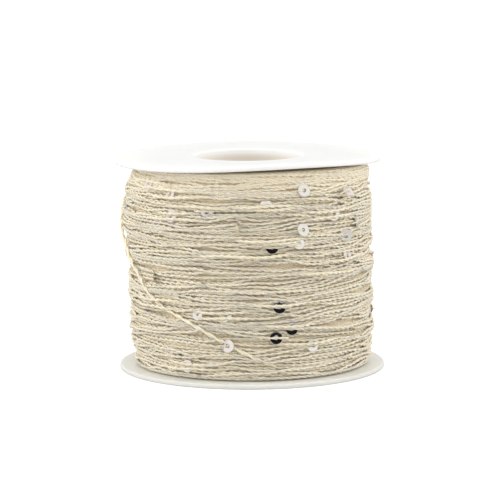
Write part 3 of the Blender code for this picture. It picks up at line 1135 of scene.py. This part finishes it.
# Reel: two flanges with their collars, and the core tube between them
reel = {
    "flangeRadius": 32.5 * mm,
    "flangeThickness": 1.2 * mm,
    "holeRadius": 13.1 * mm,
    "collarWall": 1.2 * mm,
    "collarLength": 7.0 * mm,
    "rimRound": 0.42 * mm,
    "lipRound": 0.35 * mm,
    "coreRadius": 16.1 * mm,
    "coreWall": 1.5 * mm,
    "coreGap": 1.5 * mm,
    "bow": 0.5 * mm,
    "warpRise": 1.25 * mm,
    "warpAngle": math.radians(30),
    "warpRings": 6,
    "warpEdge": 0.3 * mm,
    "warpSharpness": 3,
    "steps": 144,
    "roundSegments": 4,
    "smoothAngle": math.radians(35),
    "coreRound": 0.2 * mm,
    "near": 0.02 * mm,
}


def turnedRing(name, outline, rounded):
    # A ring drawn out of a circle step by step, then closed; the corners listed in rounded are rounded off
    firstRadius, firstHeight = outline[0]
    bpy.ops.mesh.primitive_circle_add(vertices=reel["steps"], radius=firstRadius, location=(0, 0, 0))
    piece = bpy.context.object
    piece.name = name
    bpy.ops.object.mode_set(mode="EDIT")
    bpy.ops.mesh.select_all(action="SELECT")
    bpy.ops.transform.translate(value=(0, 0, firstHeight))
    reached, level = firstRadius, firstHeight
    for radius, height in outline[1:]:
        bpy.ops.mesh.extrude_edges_move(TRANSFORM_OT_translate={"value": (0, 0, height - level)})
        size = radius / reached
        bpy.ops.transform.resize(value=(size, size, 1), center_override=(0, 0, height))
        reached, level = radius, height
    bpy.ops.object.mode_set(mode="OBJECT")
    selectRings(piece, (outline[0], outline[-1]))
    bpy.ops.object.mode_set(mode="EDIT")
    bpy.ops.mesh.bridge_edge_loops()
    for corner, size in rounded:
        bpy.ops.object.mode_set(mode="OBJECT")
        selectRings(piece, (corner,))
        bpy.ops.object.mode_set(mode="EDIT")
        bpy.ops.mesh.bevel(offset=size, segments=reel["roundSegments"], affect="EDGES")
    bpy.ops.mesh.select_all(action="SELECT")
    bpy.ops.mesh.normals_make_consistent(inside=False)
    bpy.ops.object.mode_set(mode="OBJECT")
    bpy.ops.object.shade_smooth_by_angle(angle=reel["smoothAngle"])
    return piece


def selectRings(piece, corners):
    mesh = piece.data
    for part in (mesh.vertices, mesh.edges, mesh.polygons):
        part.foreach_set("select", np.zeros(len(part), bool))
    near = reel["near"]
    for edge in mesh.edges:
        a, b = (mesh.vertices[v].co for v in edge.vertices)
        for radius, height in corners:
            if all(abs(p.xy.length - radius) < near and abs(p.z - height) < near for p in (a, b)):
                edge.select = True


def flangeOutline():
    rim, thick = reel["flangeRadius"], reel["flangeThickness"]
    hole, collar = reel["holeRadius"], reel["holeRadius"] + reel["collarWall"]
    top = thick + reel["collarLength"]
    between = [collar + (rim - collar) * i / reel["warpRings"] for i in range(1, reel["warpRings"])]
    return [
        (collar, top), (collar, thick), *((r, thick) for r in between), (rim, thick),
        (rim, 0.0), *((r, 0.0) for r in reversed(between)), (hole, 0.0), (hole, top),
    ]


def addFlange(name, node, upper):
    rim, hole, thick = reel["flangeRadius"], reel["holeRadius"], reel["flangeThickness"]
    outline = flangeOutline()
    rimRound, lipRound = reel["rimRound"], reel["lipRound"]
    rounded = [((rim, thick), rimRound), ((rim, 0.0), rimRound), ((hole, 0.0), lipRound)]
    if upper:
        outline = [(r, reelHeight - z) for r, z in outline]
        rounded = [((r, reelHeight - z), size) for (r, z), size in rounded]
    piece = turnedRing(name, outline, rounded)
    collar = hole + reel["collarWall"] + reel["warpEdge"]
    for vertex in piece.data.vertices:
        radius = vertex.co.xy.length
        if upper:
            vertex.co.z += reel["bow"] * (1 - (vertex.co.x / rim) ** 2)
        if upper and radius > collar:
            angle = math.atan2(vertex.co.x, -vertex.co.y) - reel["warpAngle"]
            push = max(0.0, math.cos(angle)) ** reel["warpSharpness"]
            vertex.co.z += reel["warpRise"] * push * (radius / rim) ** 2
        vertex.co.x += leanHigh if upper else leanLow
    finishPiece(piece, plasticPaint, "reel_plastic", node)


def addCore():
    inner, outer = reel["coreRadius"] - reel["coreWall"], reel["coreRadius"]
    low, high = reel["coreGap"], reelHeight - reel["coreGap"]
    outline = [(inner, low), (outer, low), (outer, high), (inner, high)]
    piece = turnedRing("coreTube", outline, [(corner, reel["coreRound"]) for corner in outline])
    for vertex in piece.data.vertices:
        vertex.co.x += leanAt(vertex.co.z)
    finishPiece(piece, plasticPaint, "reel_plastic", "core_tube")


addFlange("lowerFlange", "flange_lower", False)
addFlange("upperFlange", "flange_upper", True)
addCore()
print("reel made")

bpy.data.objects.remove(plies)
